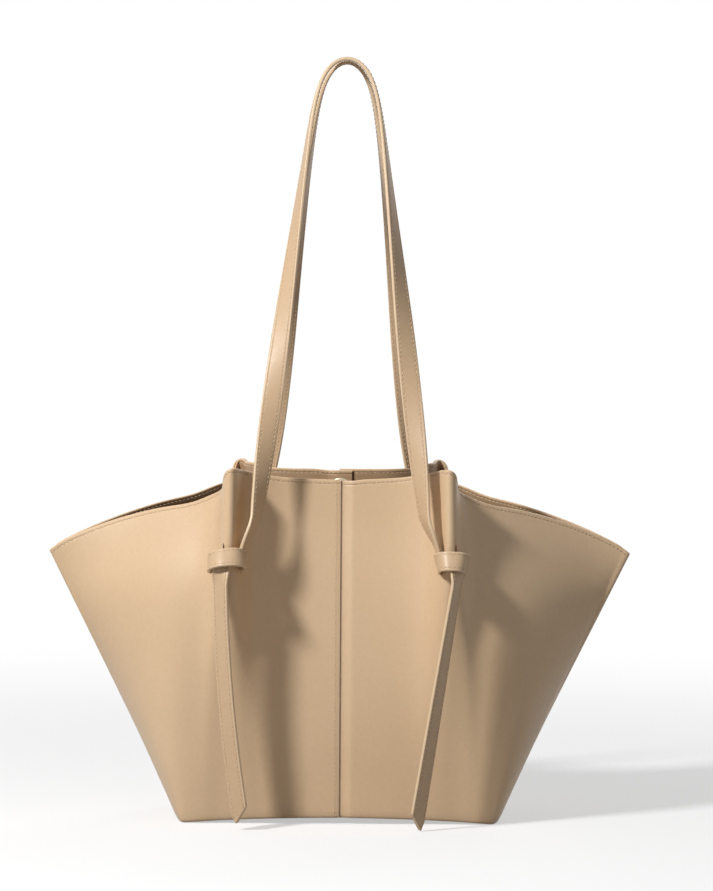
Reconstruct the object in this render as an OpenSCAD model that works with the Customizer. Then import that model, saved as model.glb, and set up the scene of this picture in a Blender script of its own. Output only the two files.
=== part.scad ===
// Trapeze bag: two wrapped body halves with lapped centre seams, four gathered pleats,
// and two long straps that are knotted through slits in the pleats, with their ends hanging.
// Millimetres. X runs to the right, Y to the back, Z up. The origin is at the middle of the base.

/* [Base] */
// Width of the base, across the front
base_w = 256; // [236:1:276]
// Depth of the base, front to back
base_d = 130; // [116:1:144]
// Thickness of the base leather
base_t = 2; // [1.4:0.1:2.6]
// Thickness of the stiffener that lies on the base
board_t = 2.5; // [1.5:0.1:4]

/* [Body] */
// Width over the two top corners
wing_w = 465; // [440:1:490]
// Height of the top corners
wing_h = 211; // [200:1:222]
// Height of the mouth at the centre seams
mouth_h = 272; // [264:1:280]
// Front to back over the mouth at the centre seams
mouth_d = 100; // [90:1:112]
// Thickness of the body leather
leather_t = 1.8; // [1.4:0.1:2]
// Half the thickness of the folded top corners, outside
corner_r = 4.4; // [4.2:0.1:6]

/* [Pleats] */
// Distance of a pleat's middle from the bag's middle
pleat_x = 86; // [82:1:92]
// Height of the pleat tops
pleat_h = 284; // [278:1:292]
// Distance of a pleat's nose from the bag's middle plane, where the knot gathers it
pleat_reach = 105; // [100:1:110]
// Width of a pleat's nose
pleat_w = 14; // [13:0.5:15]

/* [Seams] */
// How far the upper edge of a centre seam runs past the middle
lap_over = 0.5; // [0:0.1:2]
// How far the lower edge of a centre seam runs past the middle
lap_under = 10; // [6:1:14]
// Width of the facing inside the mouth
facing_w = 30; // [20:1:40]
// Thickness of the facing
facing_t = 1.2; // [0.8:0.1:1.4]

/* [Straps] */
// Width of a strap
strap_w = 16; // [13:0.5:18]
// Thickness of a strap
strap_t = 3; // [2:0.1:3.4]
// Height of the top of both straps
strap_top = 606; // [560:1:640]
// Half width of the round top of a strap
arch_w = 22.5; // [18:0.5:28]
// How fast the round top turns down
arch_drop = 17; // [12:1:24]
// How much narrower and lower the back strap's arch is than the front one's
back_nest = 4; // [1:0.5:6]
// How far the back strap's legs are drawn in above the knots
back_draw_in = 4; // [0:0.5:6]
// Turn of a leg's face from the strap's top to the knot, in degrees
strap_turn = 180; // [160:1:180]

/* [Knots] */
// Height of the knots' middle
knot_h = 211; // [205:1:216]
// Width of a knot
knot_w = 30; // [29:0.5:33]
// How far a knot's front stands out before the reach of its pleat
knot_stand = 8.5; // [7:0.5:12]

/* [Tails] */
// Height of the tails' points over the base
tail_gap = 4; // [2:1:60]
// Turn of a tail's face to the outside, in degrees
tail_turn = 52; // [30:1:60]
// Lean of the front left and back right tails to the middle, in degrees
tail_lean_a = 4.6; // [0:0.1:7]
// Lean of the front right and back left tails to the middle, in degrees
tail_lean_b = 9.4; // [0:0.1:10]

/* [Pocket and snap] */
// Width of the inner pocket
pocket_w = 120; // [90:1:128]
// Height of the inner pocket
pocket_h = 105; // [80:1:110]
// Thickness of the pocket's leather
pocket_t = 1; // [0.8:0.1:1.4]
// Diameter of the magnetic snap
snap_d = 18; // [14:0.5:20]
// Thickness of each half of the snap
snap_t = 2.6; // [2:0.1:3.2]

/* [Fit] */
// Gap between pieces that lie on each other
clear = 0.3; // [0.2:0.05:0.4]

/* [Hidden] */

tan_leather = [0.80, 0.66, 0.51];
tan_edge = [0.74, 0.59, 0.44];
tan_inside = [0.77, 0.63, 0.48];
board_grey = [0.35, 0.33, 0.31];
snap_metal = [0.78, 0.74, 0.66];

// The body's outline is a loft through six rows of points, from the floor to the mouth.
// Each row runs from the fold at the left side to the front's centre seam, and every
// list below has one value for each row.
last_row = 5;
knot_f = knot_h / pleat_h;
row_f = [0, knot_f / 3, knot_f * 2 / 3, knot_f, (1 + knot_f) / 2, 1];
// Shares of the way from the base's depth to the mouth's depth at the centre seam
centre_f = [0, 0, 0.2, 0.53, 0.8, 1];
// Shares of the way from the base's depth to the pleat's reach, at the nose
nose_f = [0, 0.13, 0.45, 1, 0.9, 0.83];
// Width of the nose: it is pinched at the knot and opens out above it
nose_w = [1, 1, 0.95, 0.7, 0.85, 1.05];
// Depth of the pleat's inner and outer flanks behind its nose
flank_in = [0, 1.5, 9, 33, 34, 34];
flank_out = [0, 0.5, 4, 13, 21, 28];
// Spread of the flanks' feet beside the nose
foot_in = [12, 11, 10, 1, 0.5, 0];
foot_out = [12, 11, 9, 5, 4, -2];
// Depth of the wing's root behind the nose, and its distance beside the nose
root_back = [0, 1.5, 9, 28, 36, 40];
root_side = [20, 18, 17, 12, 11, 7];
// Exponents of the wing's outline, from a box corner at the floor to a beak at the mouth
wing_px = [0.35, 0.6, 1, 1.3, 1.5, 1.6];
wing_py = [0.35, 0.7, 1.3, 1.7, 2.5, 4];
// Half the thickness of the side fold, how far it narrows the body there, and its turns
fold_r = [0, 1, 2.5, corner_r * 0.8, corner_r, corner_r];
fold_in = [0, 0, 1, 1.5, 2.5, 3.5];
fold_turns = [0, 2, 7];

// Columns of the loft: 0 to 2 the side fold, 3 to 8 the wing, 9 to 12 the pleat, 13 to 15 the centre
wing_steps = 6;
last_col = 15;
flare = (wing_w - base_w) / 2 / wing_h;
pleat_half = pleat_w / 2;
// Distance between the columns beside a centre seam, and where the rise to the pleat begins
seam_pitch = pleat_x * 0.4;
rise_x = pleat_x * 0.66;
rise_f = 0.35;

function lerp(a, b, f) = a + (b - a) * f;
function smooth(f) = let (g = min(max(f, 0), 1)) g * g * (3 - 2 * g);

function centre_y(j) = lerp(base_d / 2, mouth_d / 2, centre_f[j]);
function nose_y(j) = lerp(base_d / 2, pleat_reach, nose_f[j]);
function side_x(j) = base_w / 2 + flare * row_f[j] * wing_h;

// Height of the mouth's edge at each column. Over the wing it is a share of the way from the
// corner to the foot of the pleat, and from there a share of the way from the centre to the pleat's top
wing_drop = 22;
foot_h = pleat_h - wing_drop;
wing_rise = [0, 0.01, 0.07, 0.12, 0.32, 0.55, 0.73, 0.87, 1];
centre_rise = [-0.5, 1, 1, 0.77, 0.27, 0.08, 0];
function edge_h(k) =
    k <= 8 ? lerp(wing_h, foot_h, wing_rise[k]) :
    lerp(mouth_h, pleat_h, centre_rise[k - 9]);

function wing_point(j, k) =
    let (turn = k <= 2 ? fold_turns[k] : 90 * (k - 2) / wing_steps,
        root_x = pleat_x + pleat_half + root_side[j],
        root_y = nose_y(j) - root_back[j])
    [lerp(root_x, side_x(j), pow(cos(turn), wing_px[j])) - (k == 2 ? fold_in[j] : 0),
        k == 0 ? 0 : lerp(fold_r[j], root_y, pow(sin(turn), wing_py[j]))];

function pleat_point(j, k) =
    k == 9 ? [pleat_x + pleat_half + foot_out[j], nose_y(j) - flank_out[j]] :
    k == 10 ? [pleat_x + pleat_half * nose_w[j], nose_y(j) - 1] :
    k == 11 ? [pleat_x - pleat_half * nose_w[j], nose_y(j)] :
    [pleat_x - pleat_half - foot_in[j], nose_y(j) - flank_in[j]];

function centre_point(j, k) =
    k == 13 ? [rise_x, lerp(centre_y(j), nose_y(j) - flank_in[j], rise_f)] :
    k == 14 ? [seam_pitch, centre_y(j) + 1] :
    [0, centre_y(j)];

function plan_point(j, k) =
    k <= 8 ? wing_point(j, k) :
    k <= 12 ? pleat_point(j, k) : centre_point(j, k);

function net_point(j, k) =
    j < 0 ? 2 * net_point(0, k) - net_point(1, k) :
    j > last_row ? 2 * net_point(last_row, k) - net_point(last_row - 1, k) :
    k < 0 ? let (p = net_point(j, -k)) [p.x, -p.y, p.z] :
    k > last_col ? let (p = net_point(j, 2 * last_col - k)) [-p.x, p.y, p.z] :
    let (p = plan_point(j, k)) [-p.x, -p.y, row_f[j] * edge_h(k)];
net = [for (j = [-1:last_row + 1]) [for (k = [-1:last_col + 2]) net_point(j, k)]];

// Weights of a uniform cubic B-spline, and of its slope
function weights(t) = [pow(1 - t, 3), 3 * pow(t, 3) - 6 * t * t + 4,
    -3 * pow(t, 3) + 3 * t * t + 3 * t + 1, pow(t, 3)] / 6;
function slopes(t) = [-pow(1 - t, 2), 3 * t * t - 4 * t, -3 * t * t + 2 * t + 1, t * t] / 2;
function mix(w, p) = w[0] * p[0] + w[1] * p[1] + w[2] * p[2] + w[3] * p[3];
function patch(wc, wr, i, j) = mix(wr, [for (b = [0:3]) mix(wc, [for (a = [0:3]) net[j + b][i + a]])]);

// A point of the left half: col runs from minus 15 at the front seam through 0 at the side
// fold to 15 at the back seam, row from 0 at the floor to 5 at the mouth, and in is the
// distance inwards from the outer face
function skin(col, row, in) =
    let (c = abs(col), i = floor(c), j = min(floor(row), last_row - 1), wr = weights(row - j),
        p = patch(weights(c - i), wr, i, j), d = patch(slopes(c - i), wr, i, j),
        n = [d.y, -d.x] / norm([d.x, d.y]),
        q = [p.x - n.x * in, p.y - n.y * in, p.z])
    col <= 0 ? q : [q.x, -q.y, q.z];

// The row at which a column reaches a height
function row_at(col, z, low = 0, high = last_row, tries = 14) =
    let (mid = (low + high) / 2)
    tries == 0 ? mid :
    skin(col, mid, 0).z < z ? row_at(col, z, mid, high, tries - 1) : row_at(col, z, low, mid, tries - 1);

// The lower edge of a centre seam steps in under the upper one
seam_step = leather_t + clear;
over_end = last_col + lap_over / seam_pitch;
under_end = last_col + lap_under / seam_pitch;
step_from = 11;
step_to = 2.5;
step_starts = last_col - step_from / seam_pitch;
step_ends = last_col - step_to / seam_pitch;
function step_in(col) = seam_step * smooth((col - step_starts) / (step_ends - step_starts));

cuts = 3;
half_cols = concat([-over_end], [for (i = [1 - last_col * cuts:(last_col - 1) * cuts + 1]) i / cuts],
    [for (f = [0:0.25:1]) lerp(step_starts, step_ends, f)], [last_col, under_end]);
half_rows = [for (i = [0:last_row * cuts]) i / cuts];

// Closed sheet between two grids of points of the same size
module sheet(outside, inside) {
    rows = len(outside);
    cols = len(outside[0]);
    far = rows * cols;
    points = concat([for (r = outside) each r], [for (r = inside) each r]);
    cell = function (a, b, c, d) [[a, c, b], [a, d, c]];
    faces = concat(
        [for (r = [0:rows - 2], c = [0:cols - 2]) let (a = r * cols + c)
            each cell(a, a + cols, a + cols + 1, a + 1)],
        [for (r = [0:rows - 2], c = [0:cols - 2]) let (a = far + r * cols + c)
            each cell(a, a + 1, a + cols + 1, a + cols)],
        [for (c = [0:cols - 2]) each cell(c, c + 1, far + c + 1, far + c)],
        [for (c = [0:cols - 2]) let (a = (rows - 1) * cols + c) each cell(a, far + a, far + a + 1, a + 1)],
        [for (r = [0:rows - 2]) let (a = r * cols) each cell(a, far + a, far + a + cols, a + cols)],
        [for (r = [0:rows - 2]) let (a = r * cols + cols - 1)
            each cell(a, a + cols, far + a + cols, far + a)]);
    polyhedron(points, faces);
}

// The strap runs through two slits behind the pleat's nose
slit_depth = 15;
slit_y = pleat_reach - slit_depth;
knot_shift = 1.5;
knot_mid = pleat_x + knot_shift;
knot_reach = pleat_reach + knot_stand;
knot_bottom = knot_h - strap_w / 2;
knot_top = knot_h + strap_w / 2;

module slits() {
    slit_high = strap_w + 2 * clear;
    slit_wide = strap_t + 2 * clear;
    for (s = [-1, 1])
        translate([-knot_mid - knot_w / 2, s * slit_y - slit_wide / 2, knot_h - slit_high / 2])
            cube([knot_w, slit_wide, slit_high]);
}

module body_half() {
    difference() {
        sheet([for (r = half_rows) [for (c = half_cols) skin(c, r, step_in(c))]],
            [for (r = half_rows) [for (c = half_cols) skin(c, r, step_in(c) + leather_t)]]);
        slits();
    }
}
module left_body_half() { color(tan_leather) body_half(); }
module right_body_half() { color(tan_leather) rotate([0, 0, 180]) body_half(); }

// The facing follows the inside of its body half down from the mouth's edge
facing_short = 0.8 / seam_pitch;
facing_from = -last_col + lap_under / seam_pitch + facing_short;
facing_to = under_end - facing_short;
least_step = 0.05;
facing_cols = concat([facing_from],
    [for (c = half_cols) if (c > facing_from + least_step && c < facing_to - least_step) c], [facing_to]);
facing_rows = concat([0], [for (r = half_rows) if (r > last_row - 1) r]);
function facing_row(c, r) = r > 0 ? r : row_at(c, skin(c, last_row, 0).z - facing_w);
function facing_grid(in) = [for (r = facing_rows) [for (c = facing_cols)
    skin(c, facing_row(c, r), step_in(c) + leather_t + clear + in)]];
module mouth_facing() {
    color(tan_inside) sheet(facing_grid(0), facing_grid(facing_t));
}
module left_mouth_facing() { mouth_facing(); }
module right_mouth_facing() { rotate([0, 0, 180]) mouth_facing(); }

// Outline of the body at the floor, drawn in by a distance
function floor_line() =
    let (front = [for (c = [-last_col:1 / cuts:0]) let (p = skin(c, 0, 0)) [p.x, p.y]],
        back = [for (i = [len(front) - 2:-1:0]) [front[i].x, -front[i].y]],
        left = concat(front, back))
    concat(left, [for (i = [len(left) - 2:-1:1]) [-left[i].x, left[i].y]]);
module floor_outline(inset) { offset(delta = -inset) polygon(floor_line()); }

panel_inset = leather_t + seam_step + clear;
module base_panel() {
    color(tan_edge) linear_extrude(base_t) floor_outline(panel_inset);
}
board_floor = base_t + clear;
board_margin = 3;
board_inset = panel_inset + board_margin;
module base_board() {
    color(board_grey) translate([0, 0, board_floor]) linear_extrude(board_t) floor_outline(board_inset);
}

// The pocket hangs on the back's inside, below the facing
pocket_drop = 4;
pocket_slack = 1.5;
pocket_top = mouth_h - facing_w - pocket_drop;
pocket_steps = 16;
pocket_rows = 9;
// A point of the pocket: f runs from minus 1 at its left edge to 1 at its right one
function pocket_point(f, z, in) =
    let (c = last_col - abs(f) * pocket_w / 2 / seam_pitch, belly = 1 - pow(abs(f), 4),
        p = skin(c, row_at(c, z), leather_t + clear + (seam_step + clear + pocket_slack) * belly + in))
    [f > 0 ? -p.x : p.x, p.y, p.z];
function pocket_grid(in) = [for (j = [0:pocket_rows]) [for (i = [0:pocket_steps])
    pocket_point(2 * i / pocket_steps - 1, pocket_top - pocket_h * (1 - j / pocket_rows), in)]];
module inner_pocket() {
    color(tan_inside) sheet(pocket_grid(0), pocket_grid(pocket_t));
}

// The snap's halves sit on the facing, below the mouth's edge at the centre seams, and lean with it
snap_z = mouth_h - facing_w / 2;
knob_h = 1.6;
knob_d = snap_d * 0.45;
function snap_seat(z) = skin(last_col, row_at(last_col, z), leather_t + seam_step + facing_t + 2 * clear);
module snap_half(knob) {
    rise = snap_seat(snap_z + snap_d / 2) - snap_seat(snap_z - snap_d / 2);
    color(snap_metal) translate([0, -snap_seat(snap_z).y, snap_z]) rotate([atan2(rise.y, rise.z) - 90, 0, 0]) {
        cylinder(h = snap_t, d = snap_d, $fn = 48);
        if (knob) translate([0, 0, snap_t]) cylinder(h = knob_h, d = knob_d, $fn = 32);
    }
}
module front_snap_cap() { snap_half(false); }
module back_snap_stud() { rotate([0, 0, 180]) snap_half(true); }

// A strap's line: share is the part of its drop from the top to a foot, nest how much narrower
// and lower the arch is, and draw_in how far the leg is drawn in above its knot
foot_gap = 0.7;
foot_fore = 9;
foot_up = 4;
leg_foot = [knot_mid - knot_w / 2 - foot_gap - strap_t / 2, slit_y + foot_fore, knot_h + foot_up];
apex_gap = 0.8;
apex_y = (strap_w + apex_gap) / 2;
function leg_at(share, nest, draw_in) =
    let (top = strap_top - strap_t / 2 - nest, down = share * (top - leg_foot.z), half = arch_w - nest)
    [half * sqrt(1 - exp(-down / arch_drop)) + (leg_foot.x - half) * share - draw_in * sin(180 * pow(share, 3)),
        -lerp(apex_y, leg_foot.y, share), top - down];
// The share at s, which runs from minus 1 at the left knot to 1 at the right one
function fall(s) = (1 - cos(180 * s)) / 2;
function strap_at(s, nest, draw_in) = let (p = leg_at(fall(s), nest, draw_in)) [sign(s) * p.x, p.y, p.z];
// A ring of the strap; its face turns evenly at first and faster towards the knot
turn_power = 1.75;
function strap_ring(s, nest, draw_in) =
    let (e = 0.004, near = min(max(s, e - 1), 1 - e),
        a = strap_at(near - e, nest, draw_in), b = strap_at(near + e, nest, draw_in), t = (b - a) / norm(b - a),
        turn = strap_turn * pow(fall(s), turn_power),
        flat = [-sign(s) * sin(turn), -cos(turn), 0],
        w0 = flat - (flat * t) * t, w = w0 / norm(w0), n = cross(w, t),
        p = strap_at(s, nest, draw_in))
    [for (q = [[-1, -1], [1, -1], [1, 1], [-1, 1]]) p + q[0] * strap_w / 2 * w + q[1] * strap_t / 2 * n];
// Widths of the rings that round a strap's end off, down to a narrow last one
function end_width(f) = strap_w * sqrt(max(1 - f * f, 0.02));
strap_rings = 64;
end_steps = [1, 0.93, 0.75, 0.45];
module strap(nest, draw_in) {
    middle = [for (i = [0:strap_rings]) strap_ring(2 * i / strap_rings - 1, nest, draw_in)];
    first = [for (f = end_steps) [for (p = middle[0]) strap_end(p, middle[0], f)]];
    last = [for (i = [len(end_steps) - 1:-1:0]) [for (p = middle[strap_rings])
        strap_end(p, middle[strap_rings], end_steps[i])]];
    tube(concat(first, middle, last));
}
// A corner of a ring beyond the leg's foot, at a share of half the strap's width below it
function strap_end(p, ring, f) =
    let (mid = (ring[0] + ring[2]) / 2, along = (ring[1] - ring[0]) / norm(ring[1] - ring[0]),
        off = p - mid, over = off * along)
    p - over * along * (1 - end_width(f) / strap_w) - [0, 0, f * strap_w / 2];
module tube(rings) {
    n = len(rings[0]);
    last = (len(rings) - 1) * n;
    polyhedron([for (r = rings) each r], concat(
        [for (i = [0:len(rings) - 2], j = [0:n - 1]) let (a = i * n + j, b = i * n + (j + 1) % n)
            each j < n / 2 ? [[a, b, b + n], [a, b + n, a + n]] : [[a, b, a + n], [b, b + n, a + n]]],
        [[0, 2, 1], [0, 3, 2], [last, last + 1, last + 2], [last, last + 2, last + 3]]));
}
module front_strap() { color(tan_leather) strap(0, 0); }
module back_strap() { color(tan_leather) mirror([0, 1, 0]) strap(back_nest, back_draw_in); }

// A knot: the strap's run through both slits, its band over the nose, and the end tucked behind the band
weld = 0.1;
tuck_w = strap_w - 2;
// Half an ellipse in front of the slits
module bow(wide, deep) {
    intersection() {
        scale([1, deep / (wide / 2)]) circle(d = wide, $fn = 64);
        translate([-wide / 2, -deep]) square([wide, deep]);
    }
}
module knot() {
    front = knot_reach - slit_y;
    color(tan_edge) {
        translate([-knot_mid, -slit_y, knot_bottom]) linear_extrude(strap_w) {
            difference() {
                bow(knot_w, front);
                bow(knot_w - 2 * strap_t, front - strap_t);
            }
            translate([-knot_w / 2, -strap_t / 2]) square([knot_w, strap_t]);
        }
        translate([-knot_mid - tuck_w / 2, strap_t - knot_reach - weld, knot_bottom])
            cube([tuck_w, strap_t, strap_w]);
    }
}
module front_left_knot() { knot(); }
module front_right_knot() { mirror([1, 0, 0]) knot(); }
module back_left_knot() { mirror([0, 1, 0]) knot(); }
module back_right_knot() { rotate([0, 0, 180]) knot(); }

// A tail hangs from the outer side of the tucked end: its top is round, its foot is cut to a point
tail_drop = 0.5;
tail_x = knot_mid + 4.5;
tail_top = knot_bottom - tail_drop - strap_w / 2;
tail_y = knot_reach - strap_t * 1.5;
tail_len = tail_top - tail_gap;
cut_out = 9.5;
cut_in = 13;
module tail(lean) {
    color(tan_leather) translate([-tail_x, -tail_y, tail_top])
        rotate([0, -lean, 0]) rotate([0, 0, -tail_turn]) rotate([90, 0, 0])
            translate([0, 0, -strap_t / 2]) linear_extrude(strap_t) {
                circle(d = strap_w, $fn = 48);
                polygon([[-strap_w / 2, 0], [-strap_w / 2, cut_out - tail_len], [-strap_w / 4, -tail_len],
                    [strap_w / 2, cut_in - tail_len], [strap_w / 2, 0]]);
            }
}
module front_left_tail() { tail(tail_lean_a); }
module front_right_tail() { mirror([1, 0, 0]) tail(tail_lean_b); }
module back_left_tail() { mirror([0, 1, 0]) tail(tail_lean_b); }
module back_right_tail() { rotate([0, 0, 180]) tail(tail_lean_a); }

left_body_half();
right_body_half();
base_panel();
base_board();
left_mouth_facing();
right_mouth_facing();
inner_pocket();
front_snap_cap();
back_snap_stud();
front_strap();
back_strap();
front_left_knot();
front_right_knot();
back_left_knot();
back_right_knot();
front_left_tail();
front_right_tail();
back_left_tail();
back_right_tail();
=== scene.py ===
import math
import bpy
import numpy as np
from mathutils import Matrix, Vector


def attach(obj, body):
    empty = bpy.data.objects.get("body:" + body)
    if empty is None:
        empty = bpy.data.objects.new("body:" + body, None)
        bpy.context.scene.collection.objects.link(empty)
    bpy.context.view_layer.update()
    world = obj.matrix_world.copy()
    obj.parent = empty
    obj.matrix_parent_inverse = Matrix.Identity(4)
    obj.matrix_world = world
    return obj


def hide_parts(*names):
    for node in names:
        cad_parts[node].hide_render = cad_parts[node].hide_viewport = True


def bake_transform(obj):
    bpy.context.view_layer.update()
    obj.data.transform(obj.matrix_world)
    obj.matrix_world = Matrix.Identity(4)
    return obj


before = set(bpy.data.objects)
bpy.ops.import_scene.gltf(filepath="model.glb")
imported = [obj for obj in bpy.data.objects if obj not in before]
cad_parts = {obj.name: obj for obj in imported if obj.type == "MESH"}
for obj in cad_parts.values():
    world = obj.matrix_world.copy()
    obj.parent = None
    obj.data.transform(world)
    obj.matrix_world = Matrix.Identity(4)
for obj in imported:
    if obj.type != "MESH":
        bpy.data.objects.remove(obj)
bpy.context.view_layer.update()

# Body halves: two pieces of smooth tan leather, 1.8 mm thick. Each wraps round one side, from the
# front's centre seam to the back's, drawn out to a wing at the top and gathered to a pleat on each
# face. They lap at the centre seams, and the lower edge is turned in where the base is sewn on.


def lerp(a, b, f):
    """From a at f = 0 to b at f = 1 in a straight line."""
    return a + (b - a) * f


def smooth(f):
    """0 up to f = 0 and 1 from f = 1 on, and 3 f^2 - 2 f^3 between."""
    f = np.clip(f, 0, 1)
    return f * f * (3 - 2 * f)


# Millimetres, as in every shape function of the file; solid() turns them into metres.
leather_t = 1.8
base_w, base_half, mouth_half, mouth_h = 256, 65, 50, 272
wing_w, wing_h, knot_h = 465, 211, 211
pleat_x, pleat_h, pleat_reach, pleat_half = 86, 284, 105, 7
seam_pitch = pleat_x * 0.4


def loft_net():
    """Control points of the front left quarter, 6 rows from floor to mouth by 16 columns from the
    side fold to the centre seam. The wing's nine go from the fold to the pleat's root with x as
    cos^wing_px turn and y as sin^wing_py turn; the other seven are the pleat and the panel beside
    it. One phantom row is added beyond each end (extrapolated), and one and two phantom columns
    (mirrored)."""
    knot_f = knot_h / pleat_h
    row_f = np.array([0, knot_f / 3, knot_f * 2 / 3, knot_f, (1 + knot_f) / 2, 1])
    centre_y = lerp(base_half, mouth_half, np.array([0, 0, 0.2, 0.53, 0.8, 1]))
    nose_y = lerp(base_half, pleat_reach, np.array([0, 0.13, 0.45, 1, 0.9, 0.83]))
    nose_w = pleat_half * np.array([1, 1, 0.95, 0.7, 0.85, 1.05])
    flank_in = np.array([0, 1.5, 9, 33, 34, 34])
    flank_out = np.array([0, 0.5, 4, 13, 21, 28])
    foot_in = np.array([12, 11, 10, 1, 0.5, 0])
    foot_out = np.array([12, 11, 9, 5, 4, -2])
    side_x = lerp(base_w, wing_w, row_f) / 2
    root_x = pleat_x + pleat_half + np.array([20, 18, 17, 12, 11, 7])
    root_y = nose_y - np.array([0, 1.5, 9, 28, 36, 40])
    root_h = pleat_h - 22
    wing_px = np.array([0.35, 0.6, 1, 1.3, 1.5, 1.6])
    wing_py = np.array([0.35, 0.7, 1.3, 1.7, 2.5, 4])
    fold_r = np.array([0, 1, 2.5, 3.52, 4.4, 4.4])
    fold_in = np.array([0, 0, 1, 1.5, 2.5, 3.5])
    wing_turns = np.radians([0, 2, 7, 15, 30, 45, 60, 75, 90])
    wing_rises = (0, 0.01, 0.07, 0.12, 0.32, 0.55, 0.73, 0.87, 1)
    xs, ys, zs = [], [], []
    for k, (turn, rise) in enumerate(zip(wing_turns, wing_rises)):
        xs.append(lerp(root_x, side_x, math.cos(turn) ** wing_px) - (fold_in if k == 2 else 0))
        ys.append(lerp(fold_r, root_y, math.sin(turn) ** wing_py) if k else 0 * row_f)
        zs.append(lerp(wing_h, root_h, rise))
    xs += [pleat_x + pleat_half + foot_out, pleat_x + nose_w, pleat_x - nose_w,
           pleat_x - pleat_half - foot_in, pleat_x * 0.66 + 0 * row_f, seam_pitch + 0 * row_f, 0 * row_f]
    ys += [nose_y - flank_out, nose_y - 1, nose_y, nose_y - flank_in,
           lerp(centre_y, nose_y - flank_in, 0.35), centre_y + 1, centre_y]
    zs += [lerp(mouth_h, pleat_h, f) for f in (-0.5, 1, 1, 0.77, 0.27, 0.08, 0)]
    net = np.stack([-np.array(xs), -np.array(ys), np.array(zs)[:, None] * row_f], -1).transpose(1, 0, 2)
    net = np.concatenate([net[:, 1:2] * [1, -1, 1], net, net[:, 14:12:-1] * [-1, 1, 1]], 1)
    return np.concatenate([2 * net[:1] - net[1:2], net, 2 * net[-1:] - net[-2:-1]], 0)


net = loft_net()


def spline(t):
    """Weights of a uniform cubic B-spline's four points at t, and their slopes."""
    t = t[..., None]
    w = np.concatenate([(1 - t) ** 3, 3 * t**3 - 6 * t**2 + 4, -3 * t**3 + 3 * t**2 + 3 * t + 1, t**3], -1)
    s = np.concatenate([-((1 - t) ** 2), 3 * t**2 - 4 * t, -3 * t**2 + 2 * t + 1, t**2], -1)
    return w / 6, s / 2


def skin(col, row, inward=0.0):
    """p(col, row) = sum of W_b(row) W_a(col) net[b, a], less the plan normal times inward. col runs
    from -15 at the front seam through 0 at the side fold to 15 at the back seam, row from 0 at the
    floor to 5 at the mouth."""
    col, row, inward = np.broadcast_arrays(np.asarray(col, float), row, inward)
    c = np.abs(col)
    i, j = np.clip(np.floor(c), 0, 15).astype(int), np.clip(np.floor(row), 0, 4).astype(int)
    (wc, sc), (wr, _) = spline(c - i), spline(row - j)
    block = net[j[..., None, None] + np.arange(4)[:, None], i[..., None, None] + np.arange(4)]
    p = np.einsum("...b,...a,...bax->...x", wr, wc, block)
    d = np.einsum("...b,...a,...bax->...x", wr, sc, block)
    normal = np.stack([d[..., 1], -d[..., 0]], -1) / np.hypot(d[..., 0], d[..., 1])[..., None]
    p[..., :2] -= normal * inward[..., None]
    p[..., 1] *= np.where(col > 0, -1, 1)
    return p


def row_down(col, drop):
    """The row at a distance below the mouth's edge, measured square to the edge within the skin."""
    e = 1e-3
    along = skin(col + e, 5.0) - skin(col - e, 5.0)
    along /= np.linalg.norm(along, axis=-1, keepdims=True)
    up = (skin(col, 5.0) - skin(col, 5 - e)) / e
    square = np.linalg.norm(up - (up * along).sum(-1, keepdims=True) * along, axis=-1)
    return 5 - drop / square


def row_at(col, z):
    """The row at which a column reaches height z, by halving."""
    low, high = np.broadcast_arrays(0.0 * (col + z), 5.0)
    for _ in range(16):
        mid = (low + high) / 2
        above = skin(col, mid)[..., 2] > z
        low, high = np.where(above, low, mid), np.where(above, mid, high)
    return low


def settle(p):
    """The bag as it stands. It rests on its corners, with the base's middle up by 4.6 mm, as
    (1 - (x / 123)^2) (1 - z / 40)^2. The back pleats' tops lean to the middle by 4 mm and sink by 5;
    the mouth sinks by 1.6 mm outside the pleats, and its back edge is pulled nearly straight between
    them, up by 1.7 (1 - (x / 45)^2). The faces wave by 0.8 mm, as sin(x / 41) sin(z / 47)."""
    x, y, z = p[..., 0], p[..., 1], p[..., 2]
    back_pleat = np.exp(-(((np.abs(x) - 88) / 20) ** 2)) * smooth((y - 40) / 40)
    beside = np.exp(-(((np.abs(x) - 118) / 18) ** 2))
    lean = 4 * np.sign(x) * back_pleat * smooth((z - 225) / 55)
    wave = 0.8 * np.sin(x / 41 + 0.7) * np.sin(z / 47 + x / 130 + 1.1)
    wave = wave * smooth(z / 40) * smooth((270 - z) / 50)
    sink = 5 * back_pleat * smooth((z - 235) / 45) + 1.6 * beside * smooth((z - 222) / 36)
    taut = 1.7 * np.maximum(1 - (x / 45) ** 2, -1.2) * smooth((70 - np.abs(x)) / 10)
    taut = taut * smooth((z - 225) / 45) * smooth((y - 20) / 30)
    arch = 4.6 * np.clip(1 - (x / 123) ** 2, 0, 1) * np.clip(1 - z / 40, 0, 1) ** 2
    return p + np.stack([-lean, wave, taut + arch - sink], -1)


mm_per_metre = 1000
crease = math.radians(50)


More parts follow.
